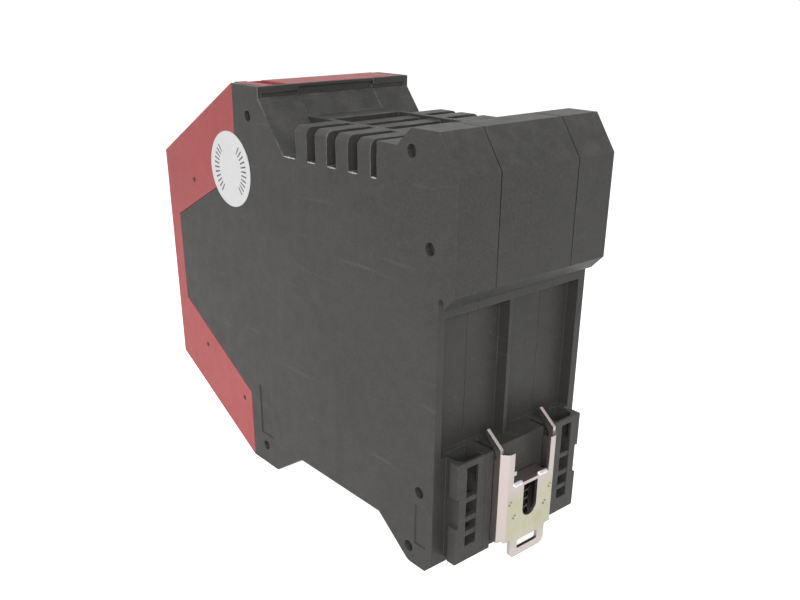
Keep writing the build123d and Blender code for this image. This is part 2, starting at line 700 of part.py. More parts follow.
# Compression spring that pushes the latch up
spring_height = shelf_bottom_z - spring_seat_z
with BuildPart() as spring:
    with BuildLine() as coil:
        Helix(pitch=(spring_height - spring_wire) / spring_coils, height=spring_height - spring_wire,
              radius=spring_radius, center=(0, spring_y, spring_seat_z + spring_wire / 2))
    with BuildSketch(Plane(origin=coil.line @ 0, z_dir=coil.line % 0)):
        RegularPolygon(spring_wire / 2, 4)
    sweep(path=coil.line, is_frenet=True)
spring.part.label = "latch_spring"
export_step(spring.part, "parts/latch_spring.step")

# Terminal blocks with their clamp cages and screws, the lower set a mirror image of the upper
cage_front = cage_length / 2
with BuildPart() as upper_block:
    with BuildSketch(Plane.YZ.offset(seat_gap - side_wall_x)):
        lid = skin + seat_gap
        Polygon((block_rear_end_y, top_z - lid - (joint_y - block_rear_end_y) * slope_fall),
                (block_front_y, top_z - lid - (joint_y - block_front_y) * slope_fall),
                (block_front_y, block_foot_z), (block_rear_end_y, block_foot_z), align=None)
    extrude(amount=2 * (side_wall_x - seat_gap))
    for row_y, row_z in terminal_rows:
        for x in pole_xs:
            reach = cage_height / 2 + cage_fit
            side_reach = cage_width / 2 + cage_fit
            slab(x - side_reach, x + side_reach, row_y - cage_front - cage_fit,
                 row_y + cage_front + cage_fit, row_z - reach, top_z, Mode.SUBTRACT)
            with BuildSketch(Plane.XZ.offset(-nose_y)):
                with Locations((x, row_z)):
                    RegularPolygon(screw_way_radius, way_sides)
            extrude(amount=nose_y - row_y, mode=Mode.SUBTRACT)
with BuildPart() as upper_cages:
    for row_y, row_z in terminal_rows:
        for x in pole_xs:
            with Locations((x, row_y, row_z - cage_fit)):
                Box(cage_width, cage_length, cage_height)
                Box(cage_width - 2 * cage_wall, cage_length - 2 * cage_wall, cage_height,
                    mode=Mode.SUBTRACT)
            slab(x - screw_radius - peg_fit, x + screw_radius + peg_fit, row_y - cage_length, row_y,
                 row_z - screw_radius - peg_fit, row_z + screw_radius + peg_fit, Mode.SUBTRACT)
with BuildPart() as upper_screws:
    for row_y, row_z in terminal_rows:
        for x in pole_xs:
            head_y = row_y - cage_front - screw_length / 2
            with BuildSketch(Plane.XZ.offset(-head_y)):
                with Locations((x, row_z)):
                    RegularPolygon(screw_radius, peg_sides)
            extrude(amount=-screw_length)
            slab(x - screw_radius, x + screw_radius, head_y, head_y + screw_slot_depth,
                 row_z - screw_slot / 2, row_z + screw_slot / 2, Mode.SUBTRACT)
for group, name in ((upper_block, "terminal_block"), (upper_cages, "clamp_cages"),
                    (upper_screws, "terminal_screws")):
    group.part.label = "upper_" + name
    export_step(group.part, f"parts/upper_{name}.step")
    lower = mirror(group.part, about=middle)
    lower.label = "lower_" + name
    export_step(lower, f"parts/lower_{name}.step")

# Circuit boards, one along each flank
def circuit_board(side):
    with BuildPart() as board:
        with BuildSketch(Plane.YZ.offset(side * board_face_x)):
            nose_z = centre_above_rail + board_nose_height / 2
            nose_foot_z = centre_above_rail - board_nose_height / 2
            Polygon((board_front_y, board_top_z), (board_rear_y, board_top_z),
                    (board_rear_y, board_bottom_z), (board_front_y, board_bottom_z),
                    (board_front_y, nose_foot_z), (board_nose_y, nose_foot_z), (board_nose_y, nose_z),
                    (board_front_y, nose_z), align=None)
        extrude(amount=side * board_thickness)
    return board


main_board = circuit_board(-1)
main_board.part.label = "main_board"
export_step(main_board.part, "parts/main_board.step")
power_board = circuit_board(1)
power_board.part.label = "power_board"
export_step(power_board.part, "parts/power_board.step")

with BuildPart() as connector:
    slab(-board_face_x, board_face_x, board_front_y + 1, board_front_y + 1 + connector_depth,
         connector_z0, connector_z1)
connector.part.label = "board_connector"
export_step(connector.part, "parts/board_connector.step")

# Force-guided relays on the main board
with BuildPart() as relays:
    for y in relay_ys:
        with Locations((relay_size[0] / 2 - board_face_x, y, relay_foot_z + relay_size[2] / 2)):
            Box(*relay_size)
    chamfer(relays.faces().group_by(Axis.X)[-1].edges(), 0.8)
relays.part.label = "switching_relays"
export_step(relays.part, "parts/switching_relays.step")

# Transformer on the power board: a core of plates round a wound coil
core_x = board_face_x - core_size[0] / 2
with BuildPart() as core:
    with Locations((core_x, core_y, core_z)):
        Box(*core_size)
    half_leg = core_size[1] / 2 - core_leg
    for side in (1, -1):
        slab(core_x - core_size[0], core_x + core_size[0], core_y + side * core_leg,
             core_y + side * half_leg, core_z - core_size[2] / 2 + core_leg,
             core_z + core_size[2] / 2 - core_leg, Mode.SUBTRACT)
core.part.label = "transformer_core"
export_step(core.part, "parts/transformer_core.step")

with BuildPart() as coil_body:
    with BuildSketch(Plane.XY.offset(core_z - core_size[2] / 2 + core_leg)):
        with Locations((core_x - coil_margin / 2, core_y)):
            RectangleRounded(core_size[0] + coil_margin - 2 * seat_gap, 2 * half_leg - 0.2, 2.0)
        with Locations((core_x, core_y)):
            Rectangle(core_size[0], 2 * core_leg, mode=Mode.SUBTRACT)
    extrude(amount=core_size[2] - 2 * core_leg)
coil_body.part.label = "transformer_coil"
export_step(coil_body.part, "parts/transformer_coil.step")

# Smoothing capacitors, stood on the power board
with BuildPart() as capacitors:
    for y in capacitor_ys:
        with BuildSketch(Plane.YZ.offset(board_face_x)):
            with Locations((y, capacitor_z)):
                Circle(capacitor_radius)
        extrude(amount=-capacitor_length)
capacitors.part.label = "capacitors"
export_step(capacitors.part, "parts/capacitors.step")

with BuildPart() as fuse:
    with Locations((board_face_x - fuse_radius, fuse_y, fuse_z)):
        Cylinder(fuse_radius, fuse_length)
fuse.part.label = "fuse"
export_step(fuse.part, "parts/fuse.step")

# Lamps at the nose end of the main board, with a light pipe each
with BuildPart() as lamps:
    for z in lamp_zs:
        with Locations((lamp_x, board_nose_y + lamp_size / 2, z)):
            Box(lamp_size, lamp_size, lamp_size)
lamps.part.label = "status_lamps"
export_step(lamps.part, "parts/status_lamps.step")

with BuildPart() as pipes:
    for z in lamp_zs:
        slab(lamp_x - lamp_size / 2, lamp_x + lamp_size / 2, nose_y, board_nose_y, z - lamp_size / 2,
             z + lamp_size / 2)
pipes.part.label = "light_pipes"
export_step(pipes.part, "parts/light_pipes.step")
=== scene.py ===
import math
import bpy
import numpy as np
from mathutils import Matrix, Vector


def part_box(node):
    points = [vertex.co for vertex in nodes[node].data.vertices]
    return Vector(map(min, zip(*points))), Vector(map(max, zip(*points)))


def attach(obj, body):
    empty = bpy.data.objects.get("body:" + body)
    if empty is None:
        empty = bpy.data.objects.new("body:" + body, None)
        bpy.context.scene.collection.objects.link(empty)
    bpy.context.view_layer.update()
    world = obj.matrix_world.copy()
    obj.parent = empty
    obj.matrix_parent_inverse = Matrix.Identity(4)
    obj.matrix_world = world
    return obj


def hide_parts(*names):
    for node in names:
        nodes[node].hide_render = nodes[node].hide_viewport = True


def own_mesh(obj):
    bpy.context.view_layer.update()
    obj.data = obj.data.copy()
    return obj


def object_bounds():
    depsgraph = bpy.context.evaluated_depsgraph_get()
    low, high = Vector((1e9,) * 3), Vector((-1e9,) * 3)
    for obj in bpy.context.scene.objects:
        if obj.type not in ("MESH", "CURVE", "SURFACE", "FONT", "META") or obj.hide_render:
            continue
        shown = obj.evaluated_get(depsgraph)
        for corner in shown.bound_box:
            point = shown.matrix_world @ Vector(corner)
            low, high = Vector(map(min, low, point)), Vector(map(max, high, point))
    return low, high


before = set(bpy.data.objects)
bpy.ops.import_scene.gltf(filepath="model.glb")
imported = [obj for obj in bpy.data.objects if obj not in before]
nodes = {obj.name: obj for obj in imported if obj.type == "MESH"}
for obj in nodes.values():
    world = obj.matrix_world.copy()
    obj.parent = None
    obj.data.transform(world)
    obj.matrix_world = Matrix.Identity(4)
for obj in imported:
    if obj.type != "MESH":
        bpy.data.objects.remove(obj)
cad_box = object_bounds()

# Camera
# Placed where the photographer stood: behind the module, to the left of its right flank,
# a little above it, and close, so that the far side is clearly smaller.
camera_data = bpy.data.cameras.new("camera")
camera_data.sensor_width = 36.0
camera_data.lens = 39.436
camera_data.shift_x = 0.0223
camera_data.shift_y = 0.0912
camera_data.clip_start = 0.005
camera_data.clip_end = 60
camera = bpy.data.objects.new("camera", camera_data)
camera.location = (0.132704, 0.116227, 0.072681)
camera.rotation_euler = [math.radians(a) for a in (66.3521, 0.0615, 140.3461)]
bpy.context.collection.objects.link(camera)
bpy.context.scene.camera = camera

# Studio
# A white table under and round the module, lit by a wide soft box above it, one beside the camera, one
# close to it that fills the hollows, a weak one in front of the flank, and the even light of a room.
floor_z = float(cad_box[0][2])


def shown_white(tree):
    """One for a ray from the camera, from a mirror-like face or through glass, and nothing for the rest:
    the largest of the three flags of the ray."""
    ways = tree.nodes.new("ShaderNodeLightPath")
    first = tree.nodes.new("ShaderNodeMath")
    first.operation = "MAXIMUM"
    tree.links.new(ways.outputs["Is Camera Ray"], first.inputs[0])
    tree.links.new(ways.outputs["Is Glossy Ray"], first.inputs[1])
    largest = tree.nodes.new("ShaderNodeMath")
    largest.operation = "MAXIMUM"
    tree.links.new(first.outputs[0], largest.inputs[0])
    tree.links.new(ways.outputs["Is Transmission Ray"], largest.inputs[1])
    return largest.outputs[0]


world = bpy.data.worlds.new("room")
bpy.context.scene.world = world
world.use_nodes = True
tree = world.node_tree
tree.nodes.clear()
room = tree.nodes.new("ShaderNodeBackground")
room_tint = (1.0, 0.985, 0.96)
room_strength = 0.20
room.inputs["Color"].default_value = (*room_tint, 1)
room.inputs["Strength"].default_value = room_strength
white = tree.nodes.new("ShaderNodeBackground")
white.inputs["Color"].default_value = (1, 1, 1, 1)
white.inputs["Strength"].default_value = 1.0
pick = tree.nodes.new("ShaderNodeMixShader")
tree.links.new(shown_white(tree), pick.inputs["Fac"])
tree.links.new(room.outputs[0], pick.inputs[1])
tree.links.new(white.outputs[0], pick.inputs[2])
world_out = tree.nodes.new("ShaderNodeOutputWorld")
tree.links.new(pick.outputs[0], world_out.inputs["Surface"])

floor_mesh = bpy.data.meshes.new("floor")
reach = 6.0
floor_mesh.from_pydata([(x * reach, y * reach, floor_z) for x, y in ((-1, -1), (1, -1), (1, 1), (-1, 1))],
                       [], [(0, 1, 2, 3)])
floor = bpy.data.objects.new("floor", floor_mesh)
bpy.context.collection.objects.link(floor)
floor_look = bpy.data.materials.new("white_table")
floor_look.use_nodes = True
tree = floor_look.node_tree
tree.nodes.clear()
paper = tree.nodes.new("ShaderNodeBsdfDiffuse")
paper.inputs["Color"].default_value = (0.9, 0.9, 0.9, 1)
lift = tree.nodes.new("ShaderNodeEmission")
lift.inputs["Color"].default_value = (1, 1, 1, 1)
strength = tree.nodes.new("ShaderNodeMath")
strength.operation = "MULTIPLY"
table_lift = 0.83
strength.inputs[1].default_value = table_lift
tree.links.new(shown_white(tree), strength.inputs[0])
tree.links.new(strength.outputs[0], lift.inputs["Strength"])
both = tree.nodes.new("ShaderNodeAddShader")
tree.links.new(paper.outputs[0], both.inputs[0])
tree.links.new(lift.outputs[0], both.inputs[1])
floor_out = tree.nodes.new("ShaderNodeOutputMaterial")
tree.links.new(both.outputs[0], floor_out.inputs["Surface"])
floor_mesh.materials.append(floor_look)


def soft_box(name, place, target, size, power, colour):
    """A square lamp of that size in metres, turned so that it shines from place at target."""
    data = bpy.data.lights.new(name, "AREA")
    data.size = size
    data.energy = power
    data.color = colour
    lamp = bpy.data.objects.new(name, data)
    lamp.location = place
    aim = np.subtract(target, place)
    yaw = math.atan2(aim[0], -aim[1])
    pitch = math.atan2(math.hypot(aim[0], aim[1]), -aim[2])
    lamp.rotation_euler = (pitch, 0, yaw + math.pi)
    bpy.context.collection.objects.link(lamp)
    return lamp


soft_box("top_box", (0.05, 0.10, 0.80), (0, -0.05, 0), 0.6, 2.2, (0.98, 0.99, 1.03))
soft_box("camera_box", (0.56, 0.42, 0.42), (0, -0.04, 0), 0.45, 1.7, (1.0, 0.985, 0.96))
soft_box("fill_box", (0.36, 0.44, 0.22), (0, -0.04, 0), 0.25, 2.7, (1.0, 0.99, 0.975))
soft_box("front_box", (0.32, -0.28, 0.26), (0, -0.06, 0), 0.25, 0.46, (1.0, 0.98, 0.95))


# Centre frame
# The middle third of the housing, moulded in dark grey glass-filled polyamide. Its mould was eroded,
# which leaves a fine matt grain; corners are lighter in a painted highlight, partly rubbed wear, faces that
# look up are lighter in a dust film and painted light from above, and dust and faint scuffs lie on it.
def moulded(name, colour, rough, grain_mm, grain_height_mm, edge_mm=0.25, edge_light=0.35, blotch=0.10,
            specular=0.35, dust_and_top_light=0.0, sheen_drift=0.05, mottle=0.05, height_shade=0.0):
    """A moulded plastic. Colour drifts by blotch over centimetres and roughness over millimetres. The bump
    is a fine noise, and the same noise mottles the colour a little. Corners are rounded in the shading,
    and lighter in patches where the rounded normal leaves the true one, a painted highlight and partly
    rubbed wear, above all at the top in front of the rear block, round the vent ribs, where hands hold the
    module.
    Faces that look up are lighter in patches, a film of dust and painted light from above. Dust lies too as
    sparse specks, the near cells of a random point pattern, and long thin scuffs, the peaks of a noise that
    is drawn out along one way. The height shade is a painted shade: it lightens the foot and darkens the
    top."""
    look = bpy.data.materials.new(name)
    look.use_nodes = True
    tree = look.node_tree
    make, join = tree.nodes.new, tree.links.new
    shader = tree.nodes["Principled BSDF"]
    shader.inputs["Specular IOR Level"].default_value = specular
    place = make("ShaderNodeTexCoord").outputs["Object"]

    def ranged(value, low, high, to_low, to_high):
        """The value, drawn from one range to another and held at its ends."""
        span = make("ShaderNodeMapRange")
        for socket, number in (("From Min", low), ("From Max", high), ("To Min", to_low),
                               ("To Max", to_high)):
            span.inputs[socket].default_value = number
        join(value, span.inputs["Value"])
        return span.outputs["Result"]

    def worked(kind, first, second):
        """One step of arithmetic on two values."""
        node = make("ShaderNodeMath")
        node.operation = kind
        join(first, node.inputs[0])
        join(second, node.inputs[1])
        return node.outputs[0]

    drift = make("ShaderNodeTexNoise")
    drift.inputs["Scale"].default_value = 45
    drift.inputs["Detail"].default_value = 3
    join(place, drift.inputs["Vector"])
    tone = ranged(drift.outputs["Fac"], 0.3, 0.7, 1 - blotch, 1 + blotch)

    soft = make("ShaderNodeBevel")
    soft.samples = 4
    soft.inputs["Radius"].default_value = edge_mm / 1000
    sharp = make("ShaderNodeNewGeometry")
    agree = make("ShaderNodeVectorMath")
    agree.operation = "DOT_PRODUCT"
    join(soft.outputs["Normal"], agree.inputs[0])
    join(sharp.outputs["True Normal"], agree.inputs[1])
    patches = make("ShaderNodeTexNoise")
    patches.inputs["Scale"].default_value = 170
    patches.inputs["Detail"].default_value = 5
    patches.inputs["Roughness"].default_value = 0.65
    join(place, patches.inputs["Vector"])
    # Painted highlight, partly rubbed wear: lighter in patches on corners where the rounded normal leaves
    # the true one.
    highlit_share = worked("MULTIPLY", ranged(agree.outputs["Value"], 0.99, 0.80, 0.0, 1.0),
                    ranged(patches.outputs["Fac"], 0.40, 0.62, edge_light * 0.15, edge_light))
    height = make("ShaderNodeSeparateXYZ")
    join(place, height.inputs[0])
    # Full strength of the painted edge highlight only round the vent ribs, at the top in front of the rear
    # block.
    vent_zone = worked("MULTIPLY", ranged(height.outputs["Z"], 0.028, 0.038, 0.0, 1.0),
                     ranged(height.outputs["Y"], -0.011, -0.018, 0.0, 1.0))
    highlit_share = worked("MULTIPLY", highlit_share, ranged(vent_zone, 0.0, 1.0, 0.12, 1.0))
    tone = worked("ADD", tone, highlit_share)

    if dust_and_top_light > 0:
        cells = make("ShaderNodeTexVoronoi")
        cells.inputs["Scale"].default_value = 420
        join(place, cells.inputs["Vector"])
        near = ranged(cells.outputs["Distance"], 0.05, 0.12, 1.0, 0.0)
        odd = make("ShaderNodeSeparateColor")
        join(cells.outputs["Color"], odd.inputs[0])
        rare = ranged(odd.outputs[0], 0.86, 0.90, 0.0, 1.0)
        tone = worked("ADD", tone, ranged(worked("MULTIPLY", near, rare), 0.0, 1.0, 0.0, dust_and_top_light))
        facing = make("ShaderNodeSeparateXYZ")
        join(sharp.outputs["True Normal"], facing.inputs[0])
        # Lighter film in patches on faces that look up: dust, and painted light from above.
        dust_film_and_top_light = worked("MULTIPLY", ranged(facing.outputs["Z"], 0.2, 0.7, 0.0, 1.0),
                      ranged(patches.outputs["Fac"], 0.42, 0.66, 0.0, dust_and_top_light * 0.7))
        tone = worked("ADD", tone, dust_film_and_top_light)
        along = make("ShaderNodeMapping")
        along.inputs["Rotation"].default_value = (0.6, 0.2, 0.0)
        along.inputs["Scale"].default_value = (700, 50, 700)
        join(place, along.inputs["Vector"])
        rub = make("ShaderNodeTexNoise")
        rub.inputs["Scale"].default_value = 1.0
        rub.inputs["Detail"].default_value = 2
        join(along.outputs["Vector"], rub.inputs["Vector"])
        tone = worked("ADD", tone, ranged(rub.outputs["Fac"], 0.66, 0.80, 0.0, dust_and_top_light * 0.6))

    grain = make("ShaderNodeTexNoise")
    grain.inputs["Scale"].default_value = 1000 / grain_mm
    grain.inputs["Detail"].default_value = 2
    join(place, grain.inputs["Vector"])
    tone = worked("ADD", tone, ranged(grain.outputs["Fac"], 0.3, 0.7, -mottle, mottle))
    # Painted shade: lighter towards the foot and darker towards the top.
    tone = worked("ADD", tone, ranged(height.outputs["Z"], -0.030, 0.035, height_shade, -height_shade))

    paint = make("ShaderNodeVectorMath")
    paint.operation = "SCALE"
    paint.inputs[0].default_value = colour
    join(tone, paint.inputs["Scale"])
    join(paint.outputs["Vector"], shader.inputs["Base Color"])

    smear = make("ShaderNodeTexNoise")
    smear.inputs["Scale"].default_value = 260
    smear.inputs["Detail"].default_value = 4
    join(place, smear.inputs["Vector"])
    join(ranged(smear.outputs["Fac"], 0.3, 0.7, rough - sheen_drift, rough + sheen_drift),
         shader.inputs["Roughness"])

    bump = make("ShaderNodeBump")
    bump.inputs["Strength"].default_value = 1.0
    bump.inputs["Distance"].default_value = grain_height_mm / 1000
    join(grain.outputs["Fac"], bump.inputs["Height"])
    join(soft.outputs["Normal"], bump.inputs["Normal"])
    join(bump.outputs["Normal"], shader.inputs["Normal"])
    return look


def dress(look, *names):
    """The named CAD pieces take this finish."""
    for name in names:
        mesh = nodes[name].data
        if not mesh.materials:
            mesh.materials.append(look)
        for i in range(len(mesh.materials)):
            mesh.materials[i] = look


dark_polyamide = moulded("dark_polyamide", (0.0340, 0.0336, 0.0324), 0.52, 0.42, 0.018, edge_mm=0.3,
                         edge_light=6.5, blotch=0.08, specular=0.25, dust_and_top_light=0.9, mottle=0.16)
dress(dark_polyamide, "centre_frame")


# Latch spring
# A compression spring of oiled steel wire with flat closed ends. It stands on the frame's ledge,
# and pushes up on the shelf of the latch.
def plated(name, colour, tint, rough, edge_mm=0.15, bright=None, bright_spans=()):
    """Plated or oiled metal. Its colour drifts between two tones over millimetres, with fine drawn lines
    along Z in its roughness and bump. Where a bright tone is given, it is a painted highlight: faces that
    look sideways have it, from the sideways share of their normal, and so has all that lies past the second
    height of a span, up or down, with a change from the first height on."""
    look = bpy.data.materials.new(name)
    look.use_nodes = True
    tree = look.node_tree
    make, join = tree.nodes.new, tree.links.new
    shader = tree.nodes["Principled BSDF"]
    shader.inputs["Metallic"].default_value = 1.0
    place = make("ShaderNodeTexCoord").outputs["Object"]
    drift = make("ShaderNodeTexNoise")
    drift.inputs["Scale"].default_value = 130
    drift.inputs["Detail"].default_value = 3
    join(place, drift.inputs["Vector"])
    share = make("ShaderNodeMapRange")
    share.inputs["From Min"].default_value = 0.4
    share.inputs["From Max"].default_value = 0.65
    join(drift.outputs["Fac"], share.inputs["Value"])
    paint = make("ShaderNodeMix")
    paint.data_type = "RGBA"
    paint.inputs["A"].default_value = (*colour, 1)
    paint.inputs["B"].default_value = (*tint, 1)
    join(share.outputs["Result"], paint.inputs["Factor"])
    # Painted highlight: the bright tone on sideways faces and past the spans' heights.
    if bright:
        sideways = make("ShaderNodeSeparateXYZ")
        join(make("ShaderNodeNewGeometry").outputs["True Normal"], sideways.inputs[0])
        size = make("ShaderNodeMath")
        size.operation = "ABSOLUTE"
        join(sideways.outputs["X"], size.inputs[0])
        span = make("ShaderNodeMapRange")
        span.inputs["From Min"].default_value = 0.2
        span.inputs["From Max"].default_value = 0.6
        join(size.outputs[0], span.inputs["Value"])
        height = make("ShaderNodeSeparateXYZ")
        join(place, height.inputs[0])
        highlit_share = span.outputs["Result"]
        for start, end in bright_spans:
            climb = make("ShaderNodeMapRange")
            climb.inputs["From Min"].default_value = start
            climb.inputs["From Max"].default_value = end
            join(height.outputs["Z"], climb.inputs["Value"])
            either = make("ShaderNodeMath")
            either.operation = "MAXIMUM"
            join(highlit_share, either.inputs[0])
            join(climb.outputs["Result"], either.inputs[1])
            highlit_share = either.outputs[0]
        highlighted = make("ShaderNodeMix")
        highlighted.data_type = "RGBA"
        join(highlit_share, highlighted.inputs["Factor"])
        join(paint.outputs["Result"], highlighted.inputs["A"])
        highlighted.inputs["B"].default_value = (*bright, 1)
        paint = highlighted
    join(paint.outputs["Result"], shader.inputs["Base Color"])
    stretch = make("ShaderNodeMapping")
    stretch.inputs["Scale"].default_value = (5000, 5000, 220)
    join(place, stretch.inputs["Vector"])
    lines = make("ShaderNodeTexNoise")
    lines.inputs["Scale"].default_value = 1.0
    lines.inputs["Detail"].default_value = 3
    join(stretch.outputs["Vector"], lines.inputs["Vector"])
    gloss = make("ShaderNodeMapRange")
    gloss.inputs["To Min"].default_value = rough - 0.1
    gloss.inputs["To Max"].default_value = rough + 0.12
    join(lines.outputs["Fac"], gloss.inputs["Value"])
    join(gloss.outputs["Result"], shader.inputs["Roughness"])
    soft = make("ShaderNodeBevel")
    soft.samples = 4
    soft.inputs["Radius"].default_value = edge_mm / 1000
    bump = make("ShaderNodeBump")
    bump.inputs["Strength"].default_value = 0.6
    bump.inputs["Distance"].default_value = 0.00001
    join(lines.outputs["Fac"], bump.inputs["Height"])
    join(soft.outputs["Normal"], bump.inputs["Normal"])
    join(bump.outputs["Normal"], shader.inputs["Normal"])
    return look


def surface(name, points, closed_around):
    """A mesh from a grid of points, rows along a piece and columns round it. Each cell is one quad. Where
    the columns close round the piece, both ends are filled with a fan to the middle of their row."""
    rows, columns = points.shape[:2]
    row, column = np.meshgrid(np.arange(rows - 1), np.arange(columns if closed_around else columns - 1),
                              indexing="ij")
    here = row * columns + column
    beside = row * columns + (column + 1) % columns
    quads = np.stack([here, beside, beside + columns, here + columns], axis=-1).reshape(-1, 4)
    ends = np.stack([points[0].mean(0), points[-1].mean(0)])
    corners = np.concatenate([points.reshape(-1, 3), ends])
    faces = quads.tolist()
    if closed_around:
        ring = np.arange(columns)
        turn = (ring + 1) % columns
        first, last = rows * columns, rows * columns + 1
        faces += np.stack([turn, ring, np.full(columns, first)], axis=-1).tolist()
        base = (rows - 1) * columns
        faces += np.stack([base + ring, base + turn, np.full(columns, last)], axis=-1).tolist()
    mesh = bpy.data.meshes.new(name)
    mesh.from_pydata(corners.tolist(), [], faces)
    mesh.polygons.foreach_set("use_smooth", [True] * len(mesh.polygons))
    mesh.update()
    piece = bpy.data.objects.new(name, mesh)
    bpy.context.collection.objects.link(piece)
    return piece


def coiled_wire(name, axis, low, high, radius, wire, turns):
    """Wire wound round an upright axis. The angle grows evenly. The climb is as slow as one wire per turn
    over the first and last turn, and a smooth step raises it between them. A circle of the wire's
    radius is carried along that line, square to it."""
    t = np.linspace(0, 1, 400)
    angle = 2 * np.pi * turns * t
    edge = 1.0 / turns
    rise = np.clip((np.minimum(t, 1 - t) - 0.6 * edge) / (0.8 * edge), 0, 1)
    rate = rise * rise * (3 - 2 * rise)
    free = high - low - 2 * wire - wire * turns
    climb = np.cumsum(rate)
    climb = climb / climb[-1] * free + t * wire * turns
    z = low + wire + climb
    line = np.stack([axis[0] + radius * np.cos(angle), axis[1] + radius * np.sin(angle), z], axis=-1)
    along = np.gradient(line, axis=0)
    along /= np.linalg.norm(along, axis=1, keepdims=True)
    out = np.stack([np.cos(angle), np.sin(angle), np.zeros_like(angle)], axis=-1)
    up = np.cross(along, out)
    columns = 12
    round_angle = np.linspace(0, 2 * np.pi, columns, endpoint=False)
    ring = (np.cos(round_angle)[None, :, None] * out[:, None, :]
            + np.sin(round_angle)[None, :, None] * up[:, None, :]) * wire / 2
    return surface(name, (line[:, None, :] + ring)[:, ::-1], True)


spring_low, spring_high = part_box("latch_spring")
spring_mid = (spring_low + spring_high) / 2
wire_size = 0.00055
coil_turns = 6
spring = coiled_wire("wound_spring", (spring_mid.x, spring_mid.y), spring_low.z, spring_high.z,
                     (spring_high.x - spring_low.x) / 2 - wire_size / 2, wire_size, coil_turns)
oiled_wire = plated("oiled_spring_wire", (0.045, 0.045, 0.047), (0.07, 0.065, 0.06), 0.4, edge_mm=0.05)
spring.data.materials.append(oiled_wire)
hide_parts("latch_spring")
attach(spring, "housing")
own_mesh(spring)
dress(oiled_wire, "latch_spring")

# Rail latch
# Cut and folded from 0.8 mm steel, then zinc-plated and passivated, which leaves a faint yellow and
# green sheen on the web. The arms, the top of the latch from just under the notch and the loop are lighter
# and pinker in a painted highlight. It slides in two grooves of the frame, and its prongs snap behind the
# rail. The top edge of the web is rolled over on both sides of the slot.
notch_z = -0.0265
loop_bright_span = (-0.0385, -0.0440)
# The bright tone is a painted highlight on the arms, the top of the latch and the loop.
zinc_plate = plated("passivated_zinc", (0.34, 0.345, 0.235), (0.41, 0.38, 0.315), 0.36,
                    bright=(0.42, 0.37, 0.36),
                    bright_spans=((notch_z - 0.004, notch_z - 0.0005), loop_bright_span))
dress(zinc_plate, "rail_latch")


def rounded_bar(name, middle, half_length, radius, flat):
    """A bar along X with round ends. Its section is an ellipse, radius high and flat deep, and the section
    shrinks towards both ends like the height of a circle."""
    columns = 16
    turn = np.linspace(0, np.pi, 25)
    along = -np.cos(turn)
    middle_length = half_length - radius
    x = middle[0] + np.sign(along) * middle_length * (np.abs(along) > 1e-9) + along * radius
    round_angle = np.linspace(0, 2 * np.pi, columns, endpoint=False)
    width = np.maximum(np.sin(turn), 0.02)[:, None]
    points = np.stack([np.repeat(x[:, None], columns, axis=1),
                       middle[1] + width * flat * np.cos(round_angle)[None],
                       middle[2] + width * radius * np.sin(round_angle)[None]], axis=-1)
    return surface(name, points, True)


latch_rear_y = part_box("rail_latch")[1].y
lip_radius = 0.0007
lip_half_length = 0.0017
lip_x = 0.0041
lip_y = latch_rear_y - 0.0006
lip_z = notch_z - 0.0001
# The lips take a lighter, pinker tone than the latch's zinc: a painted highlight on their curl.
lip_highlight_zinc = plated("rolled_lip_highlight_zinc", (0.62, 0.57, 0.60), (0.66, 0.62, 0.66), 0.28, edge_mm=0.05)
for side, name in ((1, "right_rolled_lip"), (-1, "left_rolled_lip")):
    lip = rounded_bar(name, (side * lip_x, lip_y, lip_z), lip_half_length, lip_radius, lip_radius)
    lip.data.materials.append(lip_highlight_zinc)
    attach(lip, "latch")

# Circuit boards
# Two glass-epoxy boards with green solder mask, one along each flank. They stand between the floor and
# the ceiling of the housing, with a nose that reaches into the cover.
board_mask = moulded("green_solder_mask", (0.02, 0.13, 0.05), 0.32, 1.2, 0.006, edge_light=0.1)
dress(board_mask, "main_board", "power_board")

# Switching relays
# Three force-guided relays in glossy orange cases, moulded in polyester. They stand one behind the
# other, soldered to the main board.
relay_case = moulded("orange_relay_case", (0.55, 0.18, 0.02), 0.30, 0.8, 0.004, edge_mm=0.4)
dress(relay_case, "switching_relays")

# Transformer
# A core of stacked steel plates, punched and oiled, round a winding under yellow tape. Its pins are
# soldered to the power board.
core_plates = plated("core_plates", (0.24, 0.24, 0.25), (0.30, 0.29, 0.28), 0.5)
dress(core_plates, "transformer_core")
coil_tape = moulded("yellow_coil_tape", (0.62, 0.44, 0.05), 0.3, 2.0, 0.01)
dress(coil_tape, "transformer_coil")

# Capacitors and fuse
# Two smoothing capacitors in dark shrink sleeves, stood on the power board, and a ceramic fuse in front
# of the transformer.
capacitor_sleeve = moulded("capacitor_sleeve", (0.015, 0.016, 0.035), 0.28, 1.0, 0.004)
dress(capacitor_sleeve, "capacitors")
fuse_tube = moulded("fuse_tube", (0.58, 0.55, 0.48), 0.35, 0.8, 0.004)
dress(fuse_tube, "fuse")

# Screw terminals
# Dark glass-filled blocks behind the cover's two slopes, and the plug between the boards of the same
# plastic. Each pole has a tin-flashed brass cage and a zinc-plated screw.
terminal_plastic = moulded("terminal_plastic", (0.03, 0.03, 0.033), 0.5, 0.3, 0.01)
dress(terminal_plastic, "upper_terminal_block", "lower_terminal_block", "board_connector")
cage_metal = plated("tinned_brass", (0.70, 0.64, 0.44), (0.74, 0.70, 0.56), 0.35)
dress(cage_metal, "upper_clamp_cages", "lower_clamp_cages")
screw_metal = plated("screw_zinc", (0.66, 0.66, 0.64), (0.70, 0.68, 0.62), 0.30, edge_mm=0.1)
dress(screw_metal, "upper_terminal_screws", "lower_terminal_screws")

